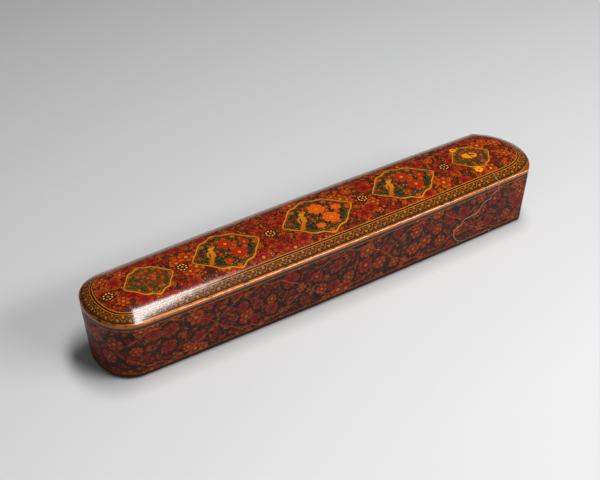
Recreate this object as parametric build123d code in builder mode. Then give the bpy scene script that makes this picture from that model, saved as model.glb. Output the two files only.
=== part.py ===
from build123d import *
import math
import os

# A sliding pen box of lacquered papier-mache. It lies along X on the plane Z = 0, with the closed end of
# its sheath at -X and the head of its drawer at +X. Lengths are in millimetres.

# Outside of the box, with its outline at the rim where the walls meet the lid
length = 240.0
mid_width = 45.2
closed_end_width = 42.0
closed_nose_depth = 8.8
closed_corner_radius = 16.2
head_end_width = 43.0
head_nose_depth = 11.3
head_corner_radius = 19.6
rim_height = 30.6
side_lean = 2.5
base_radius = 2.3
rim_radius = 1.0

# Lid, a round shoulder that rises from the rim to a flat middle
shoulder_radius = 27.1
shoulder_slope = 33.7
shoulder_steps = 3

# Papier-mache shell, the tray inside it and the gaps that let it slide
wall = 2.2
slide_gap = 0.3
inner_base_radius = 1.2
tray_wall = 1.6
tray_height = 24.6
seam_gap = 0.25

# Seam between sheath and head on both sides, as X along the box and Z above the base
seam_top_x = 89.9
seam_shoulder_z = 26.4
seam_lobe_1 = ((86.8, 25.3), (85.4, 22.6))
seam_lobe_2 = ((81.7, 22.0), (79.3, 19.0))
seam_hollow = ((77.5, 17.5), (75.0, 17.1))
seam_ledge = (70.6, 16.6)
seam_lobe_3 = ((69.0, 15.6), (68.6, 13.6))
seam_lobe_4 = ((65.8, 13.1), (64.1, 10.8))
seam_heel_side = (65.3, 6.8)
seam_heel_x = 70.5
seam_sole_z = 3.1
seam_base_x = 88.0

# Ink compartment, at the head end of the tray
partition_x = 46.0
partition_thickness = 1.5
partition_height = 17.0

# Brass inkwell that stands in the compartment
well_x = 67.0
well_length = 30.0
well_width = 26.0
well_height = 15.0
well_corner = 6.0
well_wall = 1.0
well_edge_radius = 0.8
mouth_radius = 8.5
neck_height = 3.0
neck_wall = 1.0
flange_width = 2.6
flange_thickness = 1.0
cover_gap = 0.15
cover_wall = 0.8
cover_rise = 2.2
knob_radius = 1.5
knob_height = 3.4
knob_stem_radius = 1.0
rivet_radius = 0.7
wad_gap = 0.3
wad_height = 9.0

lean_angle = math.degrees(math.atan(side_lean / rim_height))
drawer_inset = wall + slide_gap
tray_top = drawer_inset + tray_height
tray_floor_top = drawer_inset + tray_wall
well_top = tray_floor_top + well_height
flange_top = well_top + flange_thickness
neck_top = well_top + neck_height
neck_radius = mouth_radius + neck_wall
reach = length  # past the outside in every direction


def plan(inset):
    """Outline at the rim, drawn in all round by inset."""
    closed_x = -length / 2 + closed_nose_depth
    head_x = length / 2 - head_nose_depth
    with BuildSketch() as outline:
        with BuildLine():
            ThreePointArc((closed_x, closed_end_width / 2), (0, mid_width / 2), (head_x, head_end_width / 2))
            ThreePointArc((head_x, head_end_width / 2), (length / 2, 0), (head_x, -head_end_width / 2))
            ThreePointArc((head_x, -head_end_width / 2), (0, -mid_width / 2), (closed_x, -closed_end_width / 2))
            ThreePointArc((closed_x, -closed_end_width / 2), (-length / 2, 0), (closed_x, closed_end_width / 2))
        make_face()
        corners = outline.vertices().group_by(Axis.X)
        fillet(corners[0], closed_corner_radius)
        fillet(corners[-1], head_corner_radius)
        if inset > 0:
            offset(amount=-inset, mode=Mode.REPLACE)
    return outline.sketch


def trough(inset, top, rim_width=reach):
    """Leaning walls from the base up to the height top, inset all round and cut down to rim_width."""
    lean_in = (rim_height - top) * math.tan(math.radians(lean_angle))
    with BuildPart() as form:
        with BuildSketch(Plane.XY.offset(top)):
            add(plan(inset + lean_in))
            Rectangle(reach, rim_width - 2 * lean_in, mode=Mode.INTERSECT)
        extrude(amount=top - inset, dir=(0, 0, -1), taper=lean_angle)
        floor_edges = form.faces().sort_by(Axis.Z)[0].edges()
        fillet(floor_edges, inner_base_radius if inset > 0 else base_radius)
    return form.part


def pillow(inset, rim_width=reach):
    """The box as a solid, drawn in by inset on every side: leaning walls under a domed lid."""
    radius = shoulder_radius - inset
    run = shoulder_radius * math.sin(math.radians(shoulder_slope)) - inset
    rim_slope = math.asin(run / radius)
    centre_z = rim_height - shoulder_radius * math.cos(math.radians(shoulder_slope))
    rim = centre_z + radius * math.cos(rim_slope)
    rim_inset = inset + (rim_height - rim) * math.tan(math.radians(lean_angle))
    with BuildPart() as form:
        add(trough(inset, rim, rim_width))
        for step in range(shoulder_steps + 1):
            slope = rim_slope * (1 - step / shoulder_steps)
            with BuildSketch(Plane.XY.offset(centre_z + radius * math.cos(slope))):
                add(plan(rim_inset + run - radius * math.sin(slope)))
        loft()
        if inset == 0:
            rim_edges = form.edges().filter_by_position(Axis.Z, rim - 0.01, rim + 0.01)
            fillet(rim_edges, rim_radius)
    return form.part


def head_zone(gap):
    """Everything past the scalloped seam, taken from the sheath with a gap, as seen from the front."""
    with BuildPart() as zone:
        with BuildSketch(Plane.XZ):
            with BuildLine():
                Line((seam_top_x, reach), (seam_top_x, seam_shoulder_z))
                ThreePointArc((seam_top_x, seam_shoulder_z), *seam_lobe_1)
                ThreePointArc(seam_lobe_1[-1], *seam_lobe_2)
                ThreePointArc(seam_lobe_2[-1], *seam_hollow)
                Line(seam_hollow[-1], seam_ledge)
                ThreePointArc(seam_ledge, *seam_lobe_3)
                ThreePointArc(seam_lobe_3[-1], *seam_lobe_4)
                ThreePointArc(seam_lobe_4[-1], seam_heel_side, (seam_heel_x, seam_sole_z))
                Line((seam_heel_x, seam_sole_z), (seam_base_x, seam_sole_z))
                Line((seam_base_x, seam_sole_z), (seam_base_x, -reach))
                Line((seam_base_x, -reach), (reach, -reach))
                Line((reach, -reach), (reach, reach))
                Line((reach, reach), (seam_top_x, reach))
            make_face()
            if gap > 0:
                offset(amount=gap, kind=Kind.ARC, mode=Mode.REPLACE)
        extrude(amount=reach, both=True)
    return zone.part


os.makedirs("parts", exist_ok=True)

outside = pillow(0)

# The sheath's sides swell, so the drawer is as wide as the mouth at its end lets through
with BuildSketch() as mouth:
    add(plan(drawer_inset))
    with Locations((seam_top_x, 0)):
        Rectangle(seam_gap, reach, mode=Mode.INTERSECT)
tray_width = mouth.sketch.bounding_box().size.Y
tray_inside_width = tray_width - 2 * tray_wall

# The sheath, closed at -X and open towards the head, with the seam's lobes cut into its sides
with BuildPart() as case_shell:
    add(outside)
    add(pillow(wall), mode=Mode.SUBTRACT)
    add(head_zone(seam_gap), mode=Mode.SUBTRACT)
case_shell.part.label = "case_shell"
export_step(case_shell.part, "parts/case_shell.step")

# The drawer's head, which closes the open end, carries on the lines of the sheath and holds the tray
with BuildPart() as drawer_head:
    add(outside)
    add(pillow(drawer_inset, tray_width), mode=Mode.SUBTRACT)
    add(head_zone(0), mode=Mode.INTERSECT)
drawer_head.part.label = "drawer_head"
export_step(drawer_head.part, "parts/drawer_head.step")

# The tray, glued into the head and open at its top over its whole length
with BuildPart() as drawer_tray:
    add(trough(drawer_inset, tray_top, tray_width))
    add(trough(drawer_inset + tray_wall, tray_top, tray_inside_width), mode=Mode.SUBTRACT)
drawer_tray.part.label = "drawer_tray"
export_step(drawer_tray.part, "parts/drawer_tray.step")

# A board across the tray that keeps the pens away from the ink
with BuildPart() as well_partition:
    add(trough(drawer_inset + tray_wall, tray_floor_top + partition_height, tray_inside_width))
    with BuildSketch(Plane.XY):
        with Locations((partition_x, 0)):
            Rectangle(partition_thickness, reach)
    extrude(amount=reach, mode=Mode.INTERSECT)
well_partition.part.label = "well_partition"
export_step(well_partition.part, "parts/well_partition.step")

# The brass pot, a rounded box with a round mouth in its top
well_axis = Plane((well_x, 0, 0))
with BuildPart() as inkwell_pot:
    with BuildSketch(well_axis.offset(tray_floor_top)):
        RectangleRounded(well_length, well_width, well_corner)
    extrude(amount=well_height)
    fillet(inkwell_pot.faces().filter_by(Axis.Z).edges(), well_edge_radius)
    with BuildSketch(well_axis.offset(tray_floor_top + well_wall)):
        RectangleRounded(well_length - 2 * well_wall, well_width - 2 * well_wall, well_corner - well_wall)
    extrude(amount=well_height - 2 * well_wall, mode=Mode.SUBTRACT)
    with BuildSketch(well_axis.offset(tray_floor_top + well_wall)):
        Circle(mouth_radius)
    extrude(amount=well_height, mode=Mode.SUBTRACT)
inkwell_pot.part.label = "inkwell_pot"
export_step(inkwell_pot.part, "parts/inkwell_pot.step")

# A turned neck, soldered round the mouth by its flange
well_section = Plane(origin=(well_x, 0, 0), x_dir=(1, 0, 0), z_dir=(0, -1, 0))
with BuildPart() as inkwell_neck:
    with BuildSketch(well_section):
        with Locations((mouth_radius, well_top)):
            Rectangle(neck_wall, neck_height, align=Align.MIN)
            Rectangle(neck_wall + flange_width, flange_thickness, align=Align.MIN)
    revolve(axis=Axis((well_x, 0, 0), (0, 0, 1)))
    rims = inkwell_neck.edges().filter_by(GeomType.CIRCLE).group_by(Axis.Z)
    fillet(rims[-1], neck_wall / 3)
inkwell_neck.part.label = "inkwell_neck"
export_step(inkwell_neck.part, "parts/inkwell_neck.step")

# The cover, a low dome whose skirt drops over the neck and stands on the flange
cover_inner_radius = neck_radius + cover_gap
cover_radius = cover_inner_radius + cover_wall
eaves = neck_top + cover_gap + cover_wall
dome_radius = (cover_radius**2 + cover_rise**2) / (2 * cover_rise)
cover_top = eaves + cover_rise
with BuildPart() as inkwell_cover:
    with BuildSketch(well_section):
        with Locations((0, flange_top)):
            Rectangle(cover_radius, cover_top - flange_top, align=Align.MIN)
        with Locations((0, cover_top - dome_radius)):
            Circle(dome_radius, mode=Mode.INTERSECT)
    revolve(axis=Axis((well_x, 0, 0), (0, 0, 1)))
    with BuildSketch(well_section):
        with Locations((0, flange_top)):
            Rectangle(cover_inner_radius, cover_top - flange_top, align=Align.MIN)
        with Locations((0, cover_top - dome_radius)):
            Circle(dome_radius - cover_wall, mode=Mode.INTERSECT)
    revolve(axis=Axis((well_x, 0, 0), (0, 0, 1)), mode=Mode.SUBTRACT)
    with BuildSketch(well_axis.offset(flange_top)):
        Circle(rivet_radius)
    extrude(amount=cover_top, mode=Mode.SUBTRACT)
inkwell_cover.part.label = "inkwell_cover"
export_step(inkwell_cover.part, "parts/inkwell_cover.step")

# The knob, turned with a tail that is riveted through the middle of the cover
tail_foot = cover_top - cover_wall - rivet_radius / 2
with BuildPart() as cover_knob:
    with BuildSketch(well_section):
        with Locations((0, cover_top + knob_height - knob_radius)):
            Circle(knob_radius)
        with Locations((0, cover_top)):
            Rectangle(knob_stem_radius, knob_height - knob_radius, align=Align.MIN)
        with Locations((0, tail_foot)):
            Rectangle(rivet_radius, cover_top - tail_foot, align=Align.MIN)
            Rectangle(reach, reach, align=Align.MIN, mode=Mode.INTERSECT)
    revolve(axis=Axis((well_x, 0, 0), (0, 0, 1)))
cover_knob.part.label = "cover_knob"
export_step(cover_knob.part, "parts/cover_knob.step")

# A wad of raw silk in the bottom of the pot, which holds the ink
wad_inset = well_wall + wad_gap
with BuildPart() as ink_wad:
    with BuildSketch(well_axis.offset(tray_floor_top + well_wall)):
        RectangleRounded(well_length - 2 * wad_inset, well_width - 2 * wad_inset, well_corner - wad_inset)
    extrude(amount=wad_height)
    fillet(ink_wad.faces().sort_by(Axis.Z)[-1].edges(), (wad_height + wad_gap) / 4)
ink_wad.part.label = "ink_wad"
export_step(ink_wad.part, "parts/ink_wad.step")
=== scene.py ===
import bpy
import math
import random
from mathutils import Matrix, Vector


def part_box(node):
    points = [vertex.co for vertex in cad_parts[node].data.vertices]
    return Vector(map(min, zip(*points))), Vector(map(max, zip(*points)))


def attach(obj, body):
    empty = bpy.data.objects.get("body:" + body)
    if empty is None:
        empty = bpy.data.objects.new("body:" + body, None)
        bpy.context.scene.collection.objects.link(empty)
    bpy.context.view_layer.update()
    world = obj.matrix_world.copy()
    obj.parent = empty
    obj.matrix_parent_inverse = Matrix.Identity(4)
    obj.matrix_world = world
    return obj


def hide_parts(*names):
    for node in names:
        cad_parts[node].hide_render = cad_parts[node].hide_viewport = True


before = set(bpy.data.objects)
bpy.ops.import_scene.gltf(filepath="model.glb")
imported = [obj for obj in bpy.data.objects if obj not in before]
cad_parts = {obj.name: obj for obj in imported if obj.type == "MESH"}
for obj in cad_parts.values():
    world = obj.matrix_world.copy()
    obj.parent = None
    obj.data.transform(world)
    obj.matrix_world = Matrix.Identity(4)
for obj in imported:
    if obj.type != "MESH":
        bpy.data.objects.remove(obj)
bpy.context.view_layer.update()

# The painting is laid out in millimetres. Everything else is in metres, as in the frame.

# Outline of the box at its rim, as the solids have it
LENGTH = 240.0
MID_WIDTH = 45.2
CLOSED_END_WIDTH = 42.0
CLOSED_NOSE_DEPTH = 8.8
CLOSED_CORNER_RADIUS = 16.2
HEAD_END_WIDTH = 43.0
HEAD_NOSE_DEPTH = 11.3
HEAD_CORNER_RADIUS = 19.6
RIM_HEIGHT = 30.6
FAR = 1000.0  # a distance past everything on the box

# Where the painting passes from the sides to the lid, and from the long sides to the rounded ends
LID_EDGE = RIM_HEIGHT - 0.55
END_TURN = 104.0
END_TURN_RADIUS = 17.0
SIDE_SHIFT = 300.0  # so that the flowers on the sides don't repeat those on the lid

# Medallions on the lid: X of the middle, half length and half width
MEDALLIONS = (
    (-90.0, 12.0, 10.2),
    (-51.0, 17.2, 12.8),
    (-2.0, 19.0, 13.2),
    (47.6, 18.0, 12.8),
    (89.0, 11.0, 9.6),
)
SMALL_MEDALLIONS = (1.0, 0.0, 0.0, 0.0, 1.0)
BRIGHT_MEDALLIONS = (0.0, 0.0, 1.0, 0.0, 0.0)
MEDALLION_ART = (18.0, 13.0)  # half length and half width in which the flowers of a medallion are laid out
MEDALLION_EDGE = 0.36
MIDDLE_LINE = -1.0

# Rosettes between the medallions, with eight beads
ROSETTES = (-109.6, -73.4, -27.8, 23.4, 72.4)
ROSETTE_RADIUS = 2.9
ROSETTE_BEADS = 8.0
BEAD_RING = 1.9

# Roses in a medallion: X, Y, radius, petals and turn
ROSES = (
    (2.2, 4.6, 4.1, 7, 0.3),
    (4.4, -4.3, 4.2, 8, 1.1),
    (10.6, 1.4, 2.5, 6, 2.0),
    (-2.6, -7.4, 2.0, 6, 0.8),
)

# Ovals in a medallion: X, Y, half length, half width and degrees turned
BIRD = (
    (-7.6, 0.6, 3.4, 2.0, 62),
    (-5.6, 4.5, 1.3, 1.2, 0),
    (-4.0, 5.0, 1.0, 0.4, 12),
    (-10.2, -4.0, 3.4, 1.0, 50),
)
WING = (-8.5, 0.4, 2.3, 0.4, 66)
GOLD_BUD = (0.4, 1.8, 6.4, 3.3, -14)
BUD_SPLIT = (2.6, 2.2, 2.8, 0.8, -30)

# Two yellow blossoms on the head's lid: X, Y and radius
HEAD_BLOSSOMS = ((85.4, -11.6, 2.2), (85.6, 8.6, 1.9))

# Scattered blossoms: spacing, radius, petals, shift of the pattern and whether a dark ring lies round them
BLOSSOMS = ((2.7, 0.95, 5, 3.1, False), (4.3, 1.75, 5, 7.7, False), (8.6, 3.5, 6, 1.3, True))

# Scrolling border of the lid, by its depth inside the outline
BORDER = 6.0
BORDER_MIDDLE = 3.2
BORDER_PERIOD = 5.2
RIM_BAND = 1.05

# Long lobed fields on the sides
FIELD_PERIOD = 46.0
FIELD_MIDDLE = 15.6
FIELD_HALF_HEIGHT = 10.8
FIELD_FRAME = 12.3
UNDER_RIM = 28.3
FOOT = 2.9

# Bare edges of the papier-mache, and the axis that outer surfaces face away from
SEAM_EDGE = 0.0006  # metres
SEAM_MIDDLE = 15.0
AXIS_END = 100.0
AXIS_HEIGHT = 16.0
EDGE_FACING = 0.34
TRAY_RIM = 26.9

# Wad of silk in the inkwell
WAD_RINGS = 14
WAD_STEPS = 64
WAD_LUMPS = 26
WAD_SEED = 4
WAD_FIT = 0.985
WAD_FOOT = 0.0001
WAD_HOLLOW = 0.0012

# Floor, with painted shade that darkens it towards the back
FLOOR_HALF = 4.0
FLOOR_SHADE_MIDDLE = 300.0
FLOOR_SHADE_LENGTH = 840.0

# The photograph's view
IMAGE_WIDTH = 600.0
FOCAL_PIXELS = 1358.55
SENSOR = 36.0
CAMERA_TURN = -0.5929
CAMERA_RISE = 0.6068
CAMERA_ROLL = 0.0055
CAMERA_DISTANCE = 0.62476
CAMERA_AIM = (-0.01106, 0.0, 0.02441)


def srgb(red, green, blue):
    """Linear colour of an sRGB colour given in steps of 0 to 255."""
    shares = [step / 255 for step in (red, green, blue)]
    linear = [s / 12.92 if s <= 0.04045 else ((s + 0.055) / 1.055) ** 2.4 for s in shares]
    return (*linear, 1.0)


GROUND_TOP = srgb(112, 34, 18)
GROUND_TOP_DARK = srgb(66, 24, 16)
GROUND_SIDE = srgb(74, 24, 13)
GROUND_SIDE_DARK = srgb(38, 16, 11)
PALMETTE = srgb(24, 20, 11)
ORANGE = srgb(238, 116, 34)
VERMILION = srgb(206, 60, 28)
BRICK = srgb(202, 86, 52)
CRIMSON = srgb(140, 30, 26)
ROSE_RED = srgb(186, 70, 38)
ROSE_ORANGE = srgb(226, 118, 40)
YELLOW = srgb(242, 176, 46)
BUD_YELLOW = srgb(240, 180, 44)
GOLD = srgb(214, 148, 56)
PALE_GOLD = srgb(240, 190, 96)
GREEN = srgb(44, 58, 26)
OLIVE = srgb(88, 82, 36)
LEAF = srgb(70, 74, 34)
BORDER_DARK = srgb(42, 30, 18)
COPPER = srgb(196, 112, 34)
RIM_BROWN = srgb(120, 62, 18)
RIM_AMBER = srgb(222, 140, 50)
INK_LINE = srgb(30, 16, 12)
IVORY = srgb(214, 184, 148)
UNDERSIDE = srgb(58, 24, 16)
LINING = srgb(52, 16, 12)
TRAY_RED = srgb(104, 28, 18)
TRAY_DARK = srgb(70, 20, 14)
TRAY_WORN = srgb(128, 70, 40)
TRAY_STAIN = srgb(26, 14, 12)
BRASS = srgb(214, 168, 84)
BRASS_DULL = srgb(150, 104, 46)
BRASS_PATINA = srgb(84, 60, 32)
SILK_BLACK = srgb(12, 11, 12)
SILK_GREY = srgb(52, 46, 42)
FLOOR_FRONT = (0.84, 0.84, 0.84, 1.0)
FLOOR_BACK_SHADE = (0.34, 0.34, 0.35, 1.0)
ROOM_DARK = (0.05, 0.052, 0.056, 1.0)
ROOM_SEEN = (0.60, 0.61, 0.62, 1.0)

# Lines along the edge of the lid by depth, and on the sides by height: place, half width and colour
LID_LINES = (
    (1.3, 0.2, INK_LINE),
    (1.65, 0.09, OLIVE),
    (4.9, 0.12, GOLD),
    (5.4, 0.2, INK_LINE),
    (6.0, 0.14, GOLD),
)
SIDE_LINES = ((29.85, 0.2, COPPER), (28.6, 0.12, OLIVE), (27.9, 0.1, COPPER), (3.6, 0.1, OLIVE))


class Num:
    """A number that changes over the surface. Arithmetic with it makes Math nodes."""

    def __init__(self, tree, socket):
        self.tree = tree
        self.socket = socket

    def make(self, operation, *values, clamp=False):
        node = self.tree.nodes.new("ShaderNodeMath")
        node.operation = operation
        node.use_clamp = clamp
        for place, value in zip(node.inputs, values):
            if isinstance(value, Num):
                self.tree.links.new(value.socket, place)
            else:
                place.default_value = value
        return Num(self.tree, node.outputs[0])

    def __add__(self, other):
        return self.make("ADD", self, other)

    def __radd__(self, other):
        return self.make("ADD", other, self)

    def __sub__(self, other):
        return self.make("SUBTRACT", self, other)

    def __rsub__(self, other):
        return self.make("SUBTRACT", other, self)

    def __mul__(self, other):
        return self.make("MULTIPLY", self, other)

    def __rmul__(self, other):
        return self.make("MULTIPLY", other, self)

    def __truediv__(self, other):
        return self.make("DIVIDE", self, other)

    def __abs__(self):
        return self.make("ABSOLUTE", self)

    def over(self, limit):
        """1 where the number is greater than the limit, 0 elsewhere."""
        return self.make("GREATER_THAN", self, limit)

    def least(self, other):
        return self.make("MINIMUM", self, other)

    def most(self, other):
        return self.make("MAXIMUM", self, other)

    def power(self, exponent):
        return self.make("POWER", self, exponent)

    def root(self):
        return self.make("SQRT", self)

    def sin(self):
        return self.make("SINE", self)

    def cos(self):
        return self.make("COSINE", self)

    def floor(self):
        return self.make("FLOOR", self)

    def turn(self, other):
        """Angle of the point whose first coordinate is other and whose second is this number."""
        return self.make("ARCTAN2", self, other)

    def hypot(self, other):
        return (self * self + other * other).root()

    def inside(self, soft=0.14):
        """1 where the number is below zero and 0 above, over a soft edge of that width."""
        return self.make("MULTIPLY_ADD", self, -1.0 / soft, 0.5, clamp=True)

    def stroke(self, half, soft=0.14):
        """1 on a line of that half width where the number crosses zero."""
        return (abs(self) - half).inside(soft)


class Painter:
    """Builds colours in layers, like paint, in one node tree."""

    def __init__(self, tree):
        self.tree = tree
        place = tree.nodes.new("ShaderNodeTexCoord")
        millimetres = tree.nodes.new("ShaderNodeVectorMath")
        millimetres.operation = "SCALE"
        millimetres.inputs["Scale"].default_value = 1000.0
        tree.links.new(place.outputs["Object"], millimetres.inputs[0])
        self.point = millimetres.outputs[0]
        self.x, self.y, self.z = self.split(self.point)
        self.normal = self.split(place.outputs["Normal"])

    def split(self, vector):
        node = self.tree.nodes.new("ShaderNodeSeparateXYZ")
        self.tree.links.new(vector, node.inputs[0])
        return [Num(self.tree, out) for out in node.outputs]

    def join(self, x, y, z=0.0):
        node = self.tree.nodes.new("ShaderNodeCombineXYZ")
        for place, value in zip(node.inputs, (x, y, z)):
            self.feed(value, place)
        return node.outputs[0]

    def feed(self, value, place):
        if isinstance(value, Num):
            self.tree.links.new(value.socket, place)
        elif isinstance(value, bpy.types.NodeSocket):
            self.tree.links.new(value, place)
        else:
            place.default_value = value

    def mix(self, amount, below, above):
        """The colour below, covered with the colour above where the amount is 1."""
        node = self.tree.nodes.new("ShaderNodeMix")
        node.data_type = "RGBA"
        self.feed(amount, node.inputs[0])
        self.feed(below, node.inputs[6])
        self.feed(above, node.inputs[7])
        return node.outputs[2]

    def blend(self, amount, first, second):
        """The first number where the amount is 0 and the second where it is 1."""
        return first + (second - first) * amount

    def noise(self, vector, scale, detail=2.0, rough=0.5, twist=0.0):
        node = self.tree.nodes.new("ShaderNodeTexNoise")
        self.tree.links.new(vector, node.inputs["Vector"])
        node.inputs["Scale"].default_value = scale
        node.inputs["Detail"].default_value = detail
        node.inputs["Roughness"].default_value = rough
        node.inputs["Distortion"].default_value = twist
        return Num(self.tree, node.outputs[0])

    def scatter(self, u, v, spacing, spread):
        """Scattered places: the way from the nearest one, and three random numbers for it."""
        node = self.tree.nodes.new("ShaderNodeTexVoronoi")
        node.voronoi_dimensions = "2D"
        node.inputs["Scale"].default_value = 1.0
        node.inputs["Randomness"].default_value = spread
        u, v = u / spacing, v / spacing
        self.tree.links.new(self.join(u, v), node.inputs["Vector"])
        near_u, near_v, _ = self.split(node.outputs["Position"])
        return (u - near_u) * spacing, (v - near_v) * spacing, self.split(node.outputs["Color"])

    def by_place(self, splits, values):
        """A number that has the next of the values where X passes each split."""
        total = values[0]
        for split, last, value in zip(splits, values, values[1:]):
            total = self.x.over(split) * (value - last) + total
        return total

    def deepened(self, colour, contrast, brightness, saturation):
        """The same colour with more contrast, as under varnish."""
        gamma = self.tree.nodes.new("ShaderNodeGamma")
        gamma.inputs["Gamma"].default_value = contrast
        self.tree.links.new(colour, gamma.inputs["Color"])
        tone = self.tree.nodes.new("ShaderNodeHueSaturation")
        tone.inputs["Value"].default_value = brightness
        tone.inputs["Saturation"].default_value = saturation
        self.tree.links.new(gamma.outputs[0], tone.inputs["Color"])
        return tone.outputs[0]

    def near_edge(self, radius):
        """1 within about the radius, in metres, of a sharp edge."""
        rounded = self.tree.nodes.new("ShaderNodeBevel")
        rounded.samples = 8
        rounded.inputs["Radius"].default_value = radius
        geometry = self.tree.nodes.new("ShaderNodeNewGeometry")
        dot = self.tree.nodes.new("ShaderNodeVectorMath")
        dot.operation = "DOT_PRODUCT"
        self.tree.links.new(rounded.outputs[0], dot.inputs[0])
        self.tree.links.new(geometry.outputs["Normal"], dot.inputs[1])
        return (Num(self.tree, dot.outputs["Value"]) - 0.94).inside(0.06)


class Finish(Painter):
    """The painter of one material, with its shader."""

    def __init__(self, name):
        self.material = bpy.data.materials.new(name)
        self.material.use_nodes = True
        super().__init__(self.material.node_tree)
        self.shader = self.tree.nodes["Principled BSDF"]

    def give(self, socket, value):
        self.feed(value, self.shader.inputs[socket])

    def bump(self, height, strength, distance):
        node = self.tree.nodes.new("ShaderNodeBump")
        node.inputs["Strength"].default_value = strength
        node.inputs["Distance"].default_value = distance
        self.feed(height, node.inputs["Height"])
        self.give("Normal", node.outputs[0])


def arc_through(first, middle, last):
    """Centre and radius of the circle through three points."""
    (x1, y1), (x2, y2), (x3, y3) = first, middle, last
    twice_area = 2 * (x1 * (y2 - y3) + x2 * (y3 - y1) + x3 * (y1 - y2))
    s1, s2, s3 = (x**2 + y**2 for x, y in (first, middle, last))
    centre_x = (s1 * (y2 - y3) + s2 * (y3 - y1) + s3 * (y1 - y2)) / twice_area
    centre_y = (s1 * (x3 - x2) + s2 * (x1 - x3) + s3 * (x2 - x1)) / twice_area
    return (centre_x, centre_y), math.hypot(x1 - centre_x, y1 - centre_y)


def corner_centre(side, nose, radius, sign):
    """Centre of the corner arc of that radius between the side arc and the nose arc of one end."""
    (side_x, side_y), side_radius = side
    (nose_x, nose_y), nose_radius = nose
    side_radius -= radius
    nose_radius -= radius
    dx, dy = nose_x - side_x, nose_y - side_y
    gap = math.hypot(dx, dy)
    along = (side_radius**2 - nose_radius**2 + gap**2) / (2 * gap)
    off = math.sqrt(side_radius**2 - along**2)
    foot_x, foot_y = side_x + along * dx / gap, side_y + along * dy / gap
    found = [(foot_x + off * dy / gap * way, foot_y - off * dx / gap * way) for way in (1, -1)]
    return max(found, key=lambda centre: centre[0] * sign)


def rim_depth(p):
    """How far a point lies inside the outline of the rim, seen from above."""
    closed_x = -LENGTH / 2 + CLOSED_NOSE_DEPTH
    head_x = LENGTH / 2 - HEAD_NOSE_DEPTH
    side = arc_through((closed_x, CLOSED_END_WIDTH / 2), (0, MID_WIDTH / 2), (head_x, HEAD_END_WIDTH / 2))
    (side_x, side_y), side_radius = side
    away = abs(p.y)
    depth = side_radius - (p.x - side_x).hypot(away - side_y)
    for sign, end_x, half, radius in (
        (-1, closed_x, CLOSED_END_WIDTH / 2, CLOSED_CORNER_RADIUS),
        (1, head_x, HEAD_END_WIDTH / 2, HEAD_CORNER_RADIUS),
    ):
        (nose_x, _), nose_radius = arc_through((end_x, half), (sign * LENGTH / 2, 0), (end_x, -half))
        x, y = corner_centre(side, ((nose_x, 0.0), nose_radius), radius, sign)
        side_way = ((x - side_x) / (side_radius - radius), (y - side_y) / (side_radius - radius))
        nose_way = ((x - nose_x) / (nose_radius - radius), y / (nose_radius - radius))
        from_x, from_y = p.x - x, away - y
        past_side = ((from_y * side_way[0] - from_x * side_way[1]) * -sign).over(0.0)
        before_nose = ((from_x * nose_way[1] - from_y * nose_way[0]) * -sign).over(0.0)
        at_nose = (1.0 - before_nose) * ((p.x - nose_x) * sign).over(0.0)
        at_corner = past_side * before_nose
        depth = depth.least(nose_radius - (p.x - nose_x).hypot(p.y) + (1.0 - at_nose) * FAR)
        depth = depth.least(radius - from_x.hypot(from_y) + (1.0 - at_corner) * FAR)
    return depth


class Canvas(Painter):
    """The outside of the box, with the coordinates that the painting follows."""

    def __init__(self, tree):
        super().__init__(tree)
        self.depth = rim_depth(self)
        away = abs(self.y)
        closed_turn = (-END_TURN - self.x).most(0.0).turn(away)
        head_turn = (self.x - END_TURN).most(0.0).turn(away)
        straight = self.x.most(-END_TURN).least(END_TURN)
        self.along = straight - closed_turn * END_TURN_RADIUS + head_turn * END_TURN_RADIUS
        self.lid = (LID_EDGE - self.z).inside(0.2)
        self.side = 1.0 - self.lid
        self.u = self.blend(self.lid, self.along + SIDE_SHIFT, self.x)
        self.v = self.blend(self.lid, self.z, self.y)
        self.flat = self.join(self.u, self.v)
        self.across = self.y - MIDDLE_LINE
        self.cloud = self.noise(self.flat, scale=0.35, detail=3.0)
        step = self.along / FIELD_PERIOD
        place = (step - (step + 0.5).floor()) * 2.0
        lobes = 1.0 + 0.07 * (place * 14.0).cos()
        self.field = abs(self.z - FIELD_MIDDLE) - FIELD_HALF_HEIGHT * (1.0 - abs(place).power(2.2)) * lobes


def blossom(p, u, v, spacing, radius, petals):
    """Scattered flowers: masks of petals, eye and dark edge, a random number, and the share of the radius."""
    x, y, (random_turn, random_size, tone) = p.scatter(u, v, spacing, spread=0.85)
    reach = x.hypot(y)
    radius_here = (random_size * 0.45 + 0.7) * radius
    lobe = abs(((y.turn(x) + random_turn * 6.28) * (petals / 2)).cos())
    outside = reach - radius_here * (lobe.power(0.6) * 0.46 + 0.54)
    mask = outside.inside()
    share = reach / radius_here
    between_petals = (0.3 - lobe).inside(0.3) * (0.3 - share).inside(0.1)
    edge = outside.stroke(0.12).most((1.0 - between_petals) * mask * 0.8)
    return mask, (reach - radius_here * 0.24).inside(), edge, tone, share


def leaves(p, u, v, spacing, length, width):
    """Scattered pointed leaves: masks of leaf and vein, and a random number."""
    x, y, (random_turn, tone, _) = p.scatter(u, v, spacing, spread=1.0)
    angle = random_turn * 6.28
    c, s = angle.cos(), angle.sin()
    along = (x * c + y * s) / length
    bow = along * along
    across = y * c - x * s + bow * length * 0.35
    taper = 1.0 - bow.least(1.0)
    vein = across.stroke(0.07) * (abs(along) - 0.9).inside()
    return (abs(across) - taper * width).inside(), vein, tone


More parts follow.
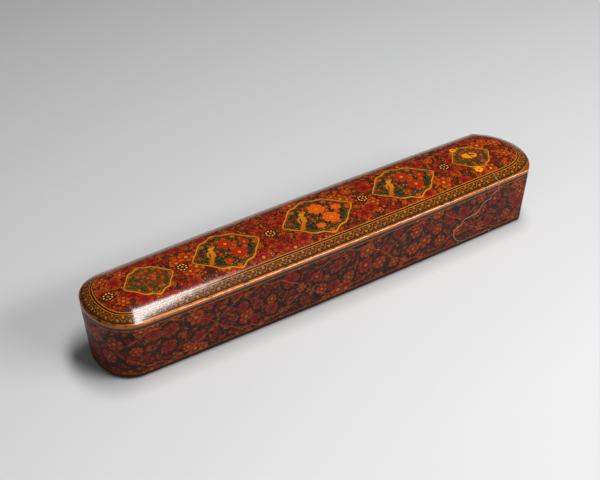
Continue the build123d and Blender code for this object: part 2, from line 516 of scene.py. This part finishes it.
def rose_at(x, y, centre_x, centre_y, radius, petals, turn):
    """One flower: masks of its petals, of the lines between its rings of petals, and of its eye."""
    from_x, from_y = x - centre_x, y - centre_y
    reach = from_x.hypot(from_y)
    lobe = abs(((from_y.turn(from_x) + turn) * (petals / 2)).cos())
    outside = reach - (lobe * 0.22 + 0.78) * radius
    rings = (reach / radius * 19.0 + lobe * 2.2).sin()
    return outside.inside(), (0.35 - rings).inside(0.5), (reach - radius * 0.2).inside()


def oval_at(x, y, centre_x, centre_y, half_length, half_width, degrees):
    """Mask of a turned oval."""
    c, s = math.cos(math.radians(degrees)), math.sin(math.radians(degrees))
    from_x, from_y = x - centre_x, y - centre_y
    along = (from_x * c + from_y * s) / half_length
    across = (from_y * c - from_x * s) / half_width
    return (along.hypot(across) - 1.0).inside(0.14 / half_width)


def ground(p):
    """Cloudy red-brown ground, with long lobed fields on the sides between dark leaf shapes."""
    side_ground = p.mix(p.cloud, GROUND_SIDE_DARK, GROUND_SIDE)
    side_ground = p.mix(p.field.inside(0.5), PALMETTE, side_ground)
    return p.mix(p.lid, side_ground, p.mix(p.cloud, GROUND_TOP_DARK, GROUND_TOP))


def stems(p, colour):
    """Thin curling stems in gold, ink and copper."""
    wide = p.noise(p.flat, scale=0.32, detail=1.0, rough=0.4, twist=0.6)
    close = p.noise(p.flat, scale=0.62, detail=0.0, twist=0.4)
    colour = p.mix((wide - 0.5).stroke(0.006, 0.01) * 0.85, colour, GOLD)
    colour = p.mix((close - 0.47).stroke(0.011, 0.015) * 0.7, colour, INK_LINE)
    return p.mix((close - 0.56).stroke(0.009, 0.012) * 0.65, colour, COPPER)


def scattered_flowers(p, colour):
    """Leaves, and blossoms of three sizes over them."""
    leaf, vein, tone = leaves(p, p.u, p.v, spacing=3.6, length=2.0, width=0.62)
    colour = p.mix(leaf * 0.9, colour, p.mix(tone.over(0.45), LEAF, COPPER))
    colour = p.mix(vein * leaf * 0.8, colour, INK_LINE)
    for spacing, radius, petals, shift, ringed in BLOSSOMS:
        mask, eye, edge, tone, share = blossom(p, p.u + shift, p.v + shift, spacing, radius, petals)
        warm = p.mix(tone.over(0.62), p.mix(tone.over(0.33), BRICK, VERMILION), ORANGE)
        there = tone.over(0.12)
        if ringed:
            colour = p.mix((share - 1.32).stroke(0.15, 0.06) * p.side * 0.85, colour, PALMETTE)
        colour = p.mix(mask * there * 0.95, colour, p.mix(share.power(1.4), CRIMSON, warm))
        colour = p.mix(edge * there * 0.8, colour, INK_LINE)
        colour = p.mix(eye * mask * there, colour, p.mix(tone.over(0.5), CRIMSON, GOLD))
    return colour


def brush_lines(p, colour):
    """Fine dark brush lines over the flowers."""
    first = p.noise(p.flat, scale=1.25, twist=0.8)
    second = p.noise(p.join(p.u * 0.8, p.v, 4.0), scale=0.95, detail=1.0, twist=1.2)
    colour = p.mix((first - 0.5).stroke(0.014, 0.014) * 0.6, colour, INK_LINE)
    return p.mix((second - 0.52).stroke(0.012, 0.012) * 0.55, colour, INK_LINE)


def head_blossoms(p, colour):
    """Two yellow blossoms on the head's lid."""
    for x, y, radius in HEAD_BLOSSOMS:
        petals, lines, eye = rose_at(p.x, p.y, x, y, radius, petals=5, turn=0.4)
        colour = p.mix(petals * p.lid, colour, p.mix(lines * 0.6, YELLOW, ORANGE))
        colour = p.mix(eye * p.lid, colour, CRIMSON)
    return colour


def side_shade_and_field_lines(p, colour):
    """Deeper tones on the sides than on the lid, partly the side paint and partly painted shade, with thin
    lines round their fields.
    """
    # painted shade: everything below the lid is pulled towards the dark side ground
    colour = p.mix(p.lid, p.mix(0.45, colour, GROUND_SIDE_DARK), colour)
    lines = p.field.stroke(0.2) + (abs(p.z - FIELD_MIDDLE) - FIELD_FRAME).stroke(0.14) * 0.7
    return p.mix(lines.least(1.0) * p.side * 0.5, colour, COPPER)


def rosettes(p, colour):
    """Small dark rosettes with gold beads, between the medallions."""
    x = p.x - p.by_place([middle for middle, _, _ in MEDALLIONS], ROSETTES)
    reach = x.hypot(p.across)
    spokes = (p.across.turn(x) * ROSETTE_BEADS).cos()
    colour = p.mix((reach - ROSETTE_RADIUS - 0.3 * spokes).inside() * p.lid, colour, BORDER_DARK)
    colour = p.mix((reach - BEAD_RING).stroke(0.34) * spokes.over(-0.1) * p.lid, colour, PALE_GOLD)
    return p.mix((reach - 0.62).inside() * p.lid, colour, ORANGE)


def medallion_art(p, x, y, small):
    """What is painted in the medallions: sprigs, small blossoms, roses, and a bird or a gold bud."""
    big = 1.0 - small
    bright = p.by_place(ROSETTES[1:], BRIGHT_MEDALLIONS)
    last = p.x.over(ROSETTES[-1])
    sprig = p.noise(p.join(x, y), scale=0.5, detail=0.0, twist=0.5)
    art = p.mix(p.cloud, p.mix(small, GREEN, OLIVE), BORDER_DARK)
    art = p.mix((sprig - 0.5).stroke(0.012, 0.014) * 0.8, art, GOLD)
    leaf, _, tone = leaves(p, x, y, spacing=2.6, length=1.5, width=0.5)
    art = p.mix(leaf * 0.85, art, p.mix(tone.over(0.5), LEAF, OLIVE))
    mask, eye, _, tone, share = blossom(p, x + 1.7, y, spacing=3.4, radius=1.35, petals=5)
    mask = mask * tone.over(0.25)
    warm = p.mix(tone.over(0.5), VERMILION, ORANGE)
    art = p.mix(mask * 0.95, art, p.mix(share.power(1.5), CRIMSON, warm))
    art = p.mix(eye * mask, art, GOLD)
    rose = p.mix(bright, ROSE_RED, ROSE_ORANGE)
    rose_line = p.mix(bright, CRIMSON, VERMILION)
    shown = p.blend(small, 1.0, 0.25)
    for place in ROSES:
        petals, lines, heart = rose_at(x, y, *place)
        art = p.mix(petals * shown, art, p.mix(lines * 0.75, rose, rose_line))
        art = p.mix(heart * big, art, GOLD)
    bird = oval_at(x, y, *BIRD[0])
    for oval in BIRD[1:]:
        bird = bird.most(oval_at(x, y, *oval))
    art = p.mix(bird * big, art, p.mix(y * 0.12 + 0.5, COPPER, GOLD))
    art = p.mix(oval_at(x, y, *WING) * big, art, OLIVE)
    art = p.mix(oval_at(x, y, *GOLD_BUD) * last, art, p.mix(p.cloud, ORANGE, BUD_YELLOW))
    return p.mix(oval_at(x, y, *BUD_SPLIT) * last, art, UNDERSIDE)


def medallions(p, colour):
    """Five pointed and scalloped medallions with a gold edge, on the middle line of the lid."""
    middle, half_length, half_width = (p.by_place(ROSETTES[1:], sizes) for sizes in zip(*MEDALLIONS))
    small = p.by_place(ROSETTES[1:], SMALL_MEDALLIONS)
    from_middle = p.x - middle
    share = (abs(from_middle) / half_length).least(1.0)
    scallops = 1.0 + 0.06 * (share * 12.6).cos()
    profile = (share * (math.pi / 2)).cos().most(0.0).power(0.92) * scallops
    edge = (abs(p.across) - profile * half_width) * 0.85 + share.over(0.999) * 9.0
    art_x, art_y = MEDALLION_ART
    art = medallion_art(p, from_middle / half_length * art_x, p.across / half_width * art_y, small)
    colour = p.mix(edge.inside() * p.lid, colour, art)
    colour = p.mix((edge + 1.15).stroke(0.1) * p.lid * 0.7, colour, COPPER)
    return p.mix(edge.stroke(MEDALLION_EDGE) * p.lid, colour, GOLD)


def border(p, colour):
    """Two crossing waves with small flowers, on a dark band round the lid."""
    band = (p.depth - BORDER).inside() * p.lid
    angle = p.along * (2 * math.pi / BORDER_PERIOD)
    from_middle = p.depth - BORDER_MIDDLE
    colour = p.mix(band, colour, BORDER_DARK)
    colour = p.mix((from_middle - angle.sin()).stroke(0.1) * band * 0.9, colour, GOLD)
    colour = p.mix((from_middle + 0.7 * angle.sin()).stroke(0.07) * band * 0.7, colour, COPPER)
    step = p.along / (BORDER_PERIOD / 2)
    x = (step - step.floor() - 0.5) * (BORDER_PERIOD / 2)
    y = from_middle - 0.85 * (angle + math.pi / 2).cos()
    reach = x.hypot(y)
    spokes = abs((y.turn(x) * 2.5).cos())
    flower = (reach - 0.36 - spokes * 0.3).inside()
    colour = p.mix(flower * band * 0.9, colour, p.mix(p.cloud.over(0.5), GOLD, COPPER))
    colour = p.mix((reach - 0.2).inside() * band, colour, VERMILION)
    fine = p.noise(p.flat, scale=2.3, detail=1.0)
    colour = p.mix((fine - 0.5).stroke(0.02, 0.02) * band * 0.75, colour, COPPER)
    colour = p.mix((fine - 0.62).stroke(0.016, 0.02) * band * 0.6, colour, OLIVE)
    for depth, half, paint in LID_LINES:
        colour = p.mix((p.depth - depth).stroke(half) * p.lid, colour, paint)
    return colour


def rim(p, colour, gilt):
    """Amber gilding on the rim, rubbed brown in places."""
    rubbed = p.noise(p.join(p.along * 0.3, p.depth * 0.6), scale=1.2, detail=3.0)
    paint = p.mix(rubbed, RIM_BROWN, RIM_AMBER)
    return p.mix(gilt, colour, p.mix((rubbed - 0.4).inside(0.03) * 0.7, paint, UNDERSIDE))


def side_lines(p, colour):
    """A dark band under the rim, thin lines, and a plain foot."""
    colour = p.mix((UNDER_RIM - p.z).inside() * p.side, colour, PALMETTE)
    for height, half, paint in SIDE_LINES:
        colour = p.mix((p.z - height).stroke(half) * p.side * 0.8, colour, paint)
    return p.mix((p.z - FOOT).inside(0.3), colour, UNDERSIDE)


def painting():
    """The painting of the outside as a node group, with the colour and where the rim is gilt."""
    tree = bpy.data.node_groups.new("LacquerPainting", "ShaderNodeTree")
    p = Canvas(tree)
    gilt = (p.depth - RIM_BAND).inside() * p.lid
    colour = ground(p)
    for layer in (
        stems, scattered_flowers, brush_lines, head_blossoms,
        side_shade_and_field_lines, rosettes, medallions, border,
    ):
        colour = layer(p, colour)
    colour = side_lines(p, rim(p, colour, gilt))
    colour = p.deepened(colour, contrast=1.2, brightness=1.28, saturation=1.03)
    tree.interface.new_socket("Colour", in_out="OUTPUT", socket_type="NodeSocketColor")
    tree.interface.new_socket("Gilt", in_out="OUTPUT", socket_type="NodeSocketFloat")
    out = tree.nodes.new("NodeGroupOutput")
    p.feed(colour, out.inputs["Colour"])
    p.feed(gilt, out.inputs["Gilt"])
    return tree


def outward(p):
    """How far a surface faces away from the middle axis of the box: 1 outside, -1 inside."""
    x = p.x - p.x.most(-AXIS_END).least(AXIS_END)
    z = p.z - AXIS_HEIGHT
    normal_x, normal_y, normal_z = p.normal
    facing = normal_x * x + normal_y * p.y + normal_z * z
    return facing / (x * x + p.y * p.y + z * z).root()


def outer_lacquer(name, art, seam_line):
    """Varnished painting outside, plain lacquer inside, and bare papier-mache edges at the seam."""
    p = Finish(name)
    group = p.tree.nodes.new("ShaderNodeGroup")
    group.node_tree = art
    facing = outward(p)
    fibre = p.noise(p.point, scale=1.4, detail=4.0, rough=0.6)
    off_middle = (abs(p.y) - SEAM_MIDDLE).inside(0.5) * (RIM_HEIGHT - p.z).inside()
    colour = p.mix(p.near_edge(SEAM_EDGE), group.outputs["Colour"], p.mix(off_middle, seam_line, INK_LINE))
    colour = p.mix((facing - EDGE_FACING).inside(0.06), colour, p.mix(fibre, IVORY, COPPER))
    colour = p.mix((facing + EDGE_FACING).inside(0.06), colour, p.mix(fibre, LINING, UNDERSIDE))
    wear = p.noise(p.point, scale=0.12, detail=4.0, rough=0.62)
    grain = p.noise(p.point, scale=9.0)
    varnished = (RIM_HEIGHT - 1.6 - p.z).inside(0.8)
    p.give("Base Color", p.mix(wear * 0.24, colour, UNDERSIDE))
    p.give("Roughness", 0.34 + grain * 0.2)
    p.give("Metallic", Num(p.tree, group.outputs["Gilt"]) * 0.55)
    p.give("Coat Weight", p.blend(varnished, 0.14, 0.9))
    p.give("Coat Roughness", 0.13)
    p.give("Coat IOR", 1.6)
    p.give("Specular IOR Level", 0.06)
    ripple = p.noise(p.point, scale=0.28, detail=3.0) * 0.7
    ripple = ripple + p.noise(p.point, scale=1.1) * 0.2 + p.noise(p.point, scale=3.2) * 0.07
    p.bump(ripple + grain * 0.04, strength=0.32, distance=0.0006)
    return p.material


def tray_lacquer():
    """Brushed dark red lacquer on the tray and its partition, worn along the top."""
    p = Finish("TrayLacquer")
    strokes = p.noise(p.join(p.x * 0.12, p.y, p.z), scale=1.1, detail=4.0, rough=0.6)
    spots = p.noise(p.point, scale=0.5, detail=3.0, rough=0.6)
    colour = p.mix((p.z - TRAY_RIM).inside(0.4), TRAY_WORN, p.mix(strokes, TRAY_RED, TRAY_DARK))
    p.give("Base Color", p.mix((spots - 0.36).inside(0.05) * 0.6, colour, TRAY_STAIN))
    p.give("Roughness", 0.3 + spots * 0.25)
    p.give("Coat Weight", 0.3)
    p.give("Coat Roughness", 0.15)
    p.bump(strokes, strength=0.3, distance=0.0003)
    return p.material


def aged_brass():
    """Brass with brown patina."""
    p = Finish("AgedBrass")
    patches = p.noise(p.point, scale=0.3, detail=4.0, rough=0.6)
    fine = p.noise(p.point, scale=2.2, detail=3.0)
    colour = p.mix(patches, BRASS, BRASS_DULL)
    p.give("Base Color", p.mix((fine - 0.4).inside(0.12) * 0.6, colour, BRASS_PATINA))
    p.give("Metallic", 1.0)
    p.give("Roughness", 0.26 + patches * 0.26)
    p.bump(fine, strength=0.25, distance=0.0002)
    return p.material


def inky_silk():
    """Matted silk threads, soaked with ink."""
    p = Finish("InkySilk")
    along_threads = p.join(p.x, p.y * 0.3, p.z * 0.3)
    threads = p.noise(along_threads, scale=2.6, detail=5.0, rough=0.7, twist=1.2)
    p.give("Base Color", p.mix(threads, SILK_BLACK, SILK_GREY))
    p.give("Roughness", 0.45 + threads * 0.4)
    p.give("Sheen Weight", 0.4)
    p.bump(threads, strength=0.8, distance=0.0006)
    return p.material


def pale_floor():
    """Matt pale floor, with painted shade darkening it towards the back."""
    p = Finish("PaleFloor")
    # painted shade: the floor grows darker towards the back
    p.give("Base Color", p.mix((FLOOR_SHADE_MIDDLE - p.y).inside(FLOOR_SHADE_LENGTH), FLOOR_FRONT, FLOOR_BACK_SHADE))
    p.give("Roughness", 0.7)
    return p.material


def dress_nodes():
    """Give each solid its material."""
    art = painting()
    tray = tray_lacquer()
    brass = aged_brass()
    materials = {
        "case_shell": outer_lacquer("PaintedLacquer", art, INK_LINE),
        "drawer_head": outer_lacquer("PaintedHead", art, IVORY),
        "drawer_tray": tray,
        "well_partition": tray,
        "inkwell_pot": brass,
        "inkwell_neck": brass,
        "inkwell_cover": brass,
        "cover_knob": brass,
    }
    for name, material in materials.items():
        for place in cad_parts[name].material_slots:
            place.material = material


def new_object(name, verts, faces, material):
    """A mesh object of one material."""
    mesh = bpy.data.meshes.new(name)
    mesh.from_pydata(verts, [], faces)
    mesh.materials.append(material)
    thing = bpy.data.objects.new(name, mesh)
    bpy.context.collection.objects.link(thing)
    return thing


def wad_point(tilt, turn, lumps):
    """A point of the wad in a box of half size 1: rounded edges and a lumpy, sunken top."""
    c, s = math.cos(turn), math.sin(turn)
    flat, rise = math.cos(tilt), math.sin(tilt)
    square = (abs(c) ** 5 + abs(s) ** 5) ** (-1 / 5)
    round_off = (abs(flat) ** 4 + abs(rise) ** 4) ** (-1 / 4)
    x = c * square * flat * round_off
    y = s * square * flat * round_off
    z = rise * round_off
    lump = sum(w * math.exp(-((x - a) ** 2 + (y - b) ** 2) * 18) for a, b, w in lumps)
    dip = 0.22 - 0.16 * min(lump, 1.3) if z > 0.2 else 0.0
    return Vector((x, y, z - dip))


def silk_wad():
    """The wad of raw silk in the pot, inside the space of its solid."""
    low, high = (Vector(corner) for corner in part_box("ink_wad"))
    middle = (low + high) / 2
    half = (high - low) / 2 * WAD_FIT
    draw = random.Random(WAD_SEED)
    lumps = [(draw.uniform(-1, 1), draw.uniform(-1, 1), draw.uniform(0.5, 1)) for _ in range(WAD_LUMPS)]
    verts = []
    for ring in range(1, WAD_RINGS):
        tilt = math.pi * ring / WAD_RINGS - math.pi / 2
        for step in range(WAD_STEPS):
            verts.append(middle + half * wad_point(tilt, 2 * math.pi * step / WAD_STEPS, lumps))
    foot, top = len(verts), len(verts) + 1
    verts.append((middle.x, middle.y, low.z + WAD_FOOT))
    verts.append((middle.x, middle.y, high.z - WAD_HOLLOW))
    faces = []
    last = (WAD_RINGS - 2) * WAD_STEPS
    for step in range(WAD_STEPS):
        after = (step + 1) % WAD_STEPS
        for start in range(0, last, WAD_STEPS):
            up = start + WAD_STEPS
            faces.append((start + step, start + after, up + after, up + step))
        faces.append((foot, after, step))
        faces.append((top, last + step, last + after))
    wad = new_object("silk_wad", verts, faces, inky_silk())
    for face in wad.data.polygons:
        face.use_smooth = True
    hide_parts("ink_wad")
    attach(wad, "drawer")


def add_floor():
    """A plain floor for the box to stand on."""
    corners = [(x * FLOOR_HALF, y * FLOOR_HALF, 0) for x, y in ((-1, -1), (1, -1), (1, 1), (-1, 1))]
    floor = new_object("floor", corners, [(0, 1, 2, 3)], pale_floor())


def area_light(name, towards, distance, width, height, watts):
    """A soft lamp in the direction towards, seen from the box, and facing it."""
    lamp = bpy.data.lights.new(name, "AREA")
    lamp.shape = "RECTANGLE"
    lamp.size = width
    lamp.size_y = height
    lamp.energy = watts
    thing = bpy.data.objects.new(name, lamp)
    bpy.context.collection.objects.link(thing)
    way = Vector(towards).normalized()
    thing.location = Vector((0.0, 0.0, 0.02)) + way * distance
    thing.rotation_euler = way.to_track_quat("Z", "Y").to_euler()


def light_scene():
    """Softboxes over the rim, the lid and the closed end, in a dark room that the camera sees as pale."""
    world = bpy.data.worlds.new("Studio")
    bpy.context.scene.world = world
    world.use_nodes = True
    tree = world.node_tree
    rays = tree.nodes.new("ShaderNodeLightPath")
    room = tree.nodes.new("ShaderNodeMix")
    room.data_type = "RGBA"
    room.inputs[6].default_value = ROOM_DARK
    room.inputs[7].default_value = ROOM_SEEN
    tree.links.new(rays.outputs["Is Camera Ray"], room.inputs[0])
    tree.links.new(room.outputs[2], tree.nodes["Background"].inputs["Color"])
    tree.nodes["Background"].inputs["Strength"].default_value = 1.0
    area_light("RimLight", (0.46, -0.70, 0.54), distance=1.1, width=0.8, height=0.2, watts=7.0)
    area_light("TopLight", (0.145, -0.05, 1.0), distance=1.0, width=0.62, height=0.22, watts=6.4)
    area_light("FillLight", (-0.72, -0.62, 0.5), distance=1.6, width=0.9, height=0.7, watts=1.6)


def add_camera():
    """The photograph's view, fitted to the outline of the box in it."""
    lens = bpy.data.cameras.new("Camera")
    lens.sensor_width = SENSOR
    lens.lens = FOCAL_PIXELS * SENSOR / IMAGE_WIDTH
    camera = bpy.data.objects.new("Camera", lens)
    bpy.context.collection.objects.link(camera)
    level = math.cos(CAMERA_RISE)
    back = Vector((math.sin(CAMERA_TURN) * level, -math.cos(CAMERA_TURN) * level, math.sin(CAMERA_RISE)))
    right = Vector((math.cos(CAMERA_TURN), math.sin(CAMERA_TURN), 0.0))
    facing = Matrix((right, back.cross(right), back)).transposed().to_4x4()
    place = Matrix.Translation(Vector(CAMERA_AIM) + back * CAMERA_DISTANCE)
    camera.matrix_world = place @ facing @ Matrix.Rotation(-CAMERA_ROLL, 4, "Z")
    bpy.context.scene.camera = camera


bpy.context.scene.view_settings.view_transform = "Standard"
add_camera()
dress_nodes()
silk_wad()
add_floor()
light_scene()
